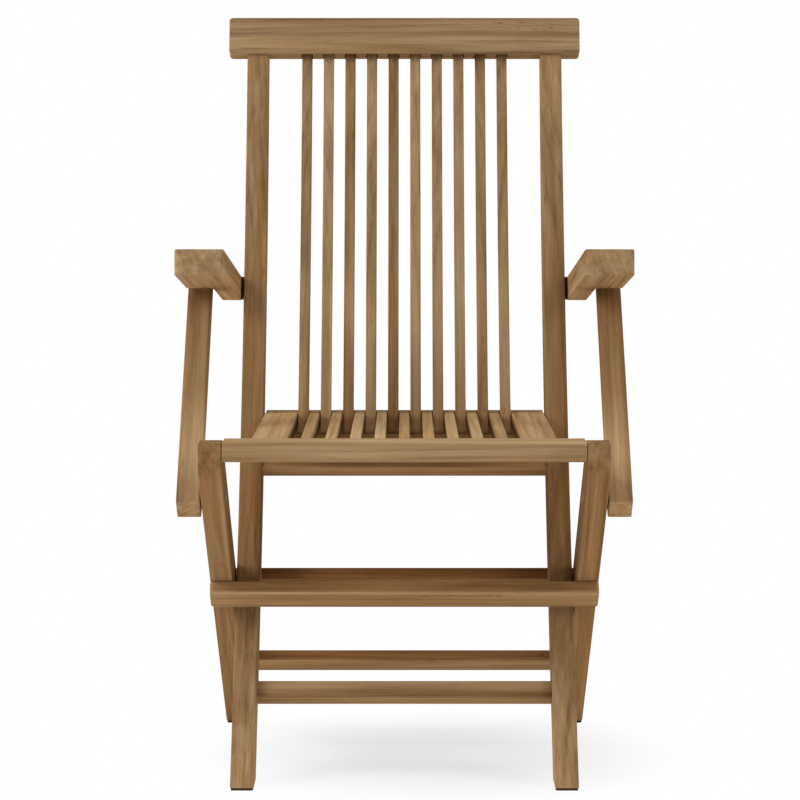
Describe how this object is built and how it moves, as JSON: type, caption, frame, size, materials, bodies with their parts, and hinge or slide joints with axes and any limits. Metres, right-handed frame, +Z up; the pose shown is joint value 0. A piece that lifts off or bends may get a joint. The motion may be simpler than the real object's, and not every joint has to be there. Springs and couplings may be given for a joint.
{
  "type": "folding armchair",
  "caption": "Folding garden armchair in solid teak with a curved slatted back, a slatted seat that passes between the back slats, and armrests that fold with the scissor frame.",
  "frame": {"origin": "on the floor under the middle of the unfolded chair's outline", "axes": "+Z up, +Y towards the back, so the sitter faces -Y, and +X towards the right when the chair is seen from the front"},
  "size_m": [0.5586, 0.6227, 0.9671],
  "materials": {
    "teak_frame": "oiled, eased edges",
    "teak_slat": "oiled, eased edges",
    "teak_peg": "oiled end grain",
    "brass": "dull, weathered",
    "dark_nylon": "matt"
  },
  "bodies": {
    "back_frame": {"stile_left": "teak_frame", "stile_right": "teak_frame", "crest_rail": "teak_frame", "lower_back_rail": "teak_frame", "back_slat_1": "teak_slat", "back_slat_2": "teak_slat", "back_slat_3": "teak_slat", "back_slat_4": "teak_slat", "back_slat_5": "teak_slat", "back_slat_6": "teak_slat", "back_slat_7": "teak_slat", "back_slat_8": "teak_slat", "back_slat_9": "teak_slat", "back_slat_10": "teak_slat", "front_stretcher": "teak_frame", "frame_pegs": "teak_peg", "scissor_bolts": "brass", "scissor_nuts": "brass", "scissor_washers": "dark_nylon", "arm_bolts": "brass", "arm_nuts": "brass", "arm_spacers": "dark_nylon", "front_foot_glides": "dark_nylon"},
    "leg_frame": {"leg_left": "teak_frame", "leg_right": "teak_frame", "front_crossbar": "teak_frame", "rear_crossbar": "teak_frame", "rear_stretcher": "teak_frame", "crossbar_screws": "brass", "crossbar_plugs": "teak_peg", "stretcher_pegs": "teak_peg", "post_bolts": "brass", "post_nuts": "brass", "post_washers": "dark_nylon", "rear_foot_glides": "dark_nylon"},
    "seat": {"seat_front_rail": "teak_frame", "seat_rear_rail": "teak_frame", "seat_side_board_left": "teak_frame", "seat_side_board_right": "teak_frame", "seat_slat_1": "teak_slat", "seat_slat_2": "teak_slat", "seat_slat_3": "teak_slat", "seat_slat_4": "teak_slat", "seat_slat_5": "teak_slat", "seat_slat_6": "teak_slat", "seat_slat_7": "teak_slat", "seat_slat_8": "teak_slat", "seat_slat_9": "teak_slat", "seat_pivot_bolts": "brass", "seat_pivot_nuts": "brass"},
    "armrest_left": {"armrest_left": "teak_frame"},
    "armrest_right": {"armrest_right": "teak_frame"},
    "arm_post_left": {"arm_post_left": "teak_frame", "post_top_screw_left": "brass", "post_top_washer_left": "dark_nylon"},
    "arm_post_right": {"arm_post_right": "teak_frame", "post_top_screw_right": "brass", "post_top_washer_right": "dark_nylon"}
  },
  "joints": [
    {"name": "leg_fold", "type": "hinge", "parent": "back_frame", "child": "leg_frame", "pos_m": [0, -0.02757, 0.22273], "axis": [-1, 0, 0], "range_deg": [0, 73]},
    {"name": "seat_fold", "type": "hinge", "parent": "leg_frame", "child": "seat", "pos_m": [0, -0.28359, 0.428], "axis": [1, 0, 0], "range_deg": [0, 131.2]},
    {"name": "arm_fold_left", "type": "hinge", "parent": "back_frame", "child": "armrest_left", "pos_m": [0, 0.18049, 0.60093], "axis": [-1, 0, 0], "range_deg": [0, 90.8]},
    {"name": "arm_fold_right", "type": "hinge", "parent": "back_frame", "child": "armrest_right", "pos_m": [0, 0.18049, 0.60093], "axis": [-1, 0, 0], "range_deg": [0, 90.8]},
    {"name": "post_fold_left", "type": "hinge", "parent": "leg_frame", "child": "arm_post_left", "pos_m": [0, -0.21642, 0.3642], "axis": [1, 0, 0], "range_deg": [0, 90.2]},
    {"name": "post_fold_right", "type": "hinge", "parent": "leg_frame", "child": "arm_post_right", "pos_m": [0, -0.21642, 0.3642], "axis": [1, 0, 0], "range_deg": [0, 90.2]}
  ],
  "couplings": [
    {"joint": "seat_fold", "follows": "leg_fold", "ratio": 1.7945},
    {"joint": "arm_fold_left", "follows": "leg_fold", "ratio": 1.2437},
    {"joint": "arm_fold_right", "follows": "leg_fold", "ratio": 1.2437},
    {"joint": "post_fold_left", "follows": "leg_fold", "ratio": 1.2362},
    {"joint": "post_fold_right", "follows": "leg_fold", "ratio": 1.2362}
  ]
}
